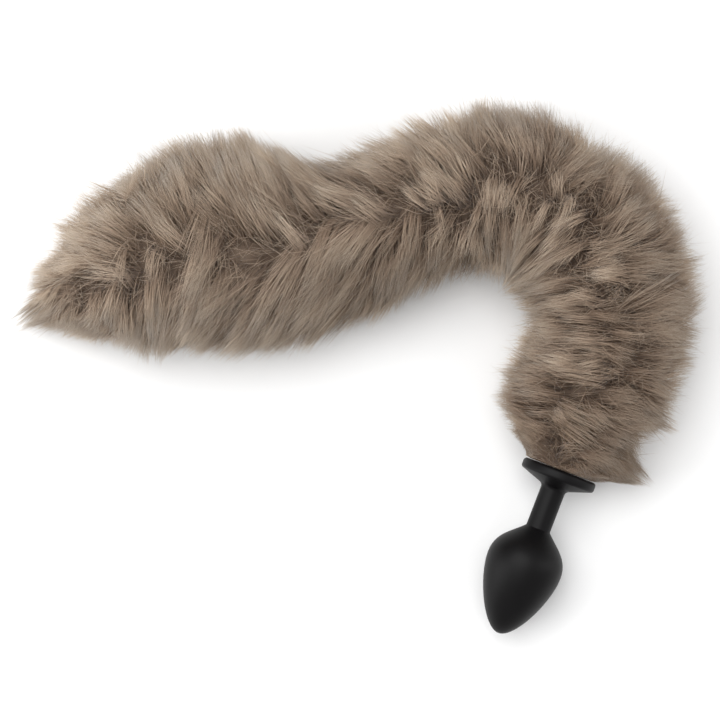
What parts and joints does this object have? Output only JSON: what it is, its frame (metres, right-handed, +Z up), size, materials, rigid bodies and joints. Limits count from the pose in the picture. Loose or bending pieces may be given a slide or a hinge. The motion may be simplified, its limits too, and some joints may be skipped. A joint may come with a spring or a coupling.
{
  "type": "tail butt plug",
  "caption": "Matte silicone plug with a tapered bulb, slim neck and round flange, carrying a long curled faux-fur tail.",
  "frame": {"origin": "on the surface the object lies on, under the middle of its bounding box", "axes": "+Z up from the surface, +X along the longest side of the bounding box, away from the tail's tip, +Y from the plug towards the tail's arch"},
  "size_m": [0.2982, 0.2352, 0.0658],
  "materials": {
    "silicone": "matte soft-touch silicone",
    "nylon": "plain moulded",
    "fur": "long-pile faux fur, dark at the roots and pale at the tips"
  },
  "bodies": {
    "root": {"plug_body": "silicone", "tail_peg": "nylon", "fur_tail": "fur"}
  },
  "joints": []
}
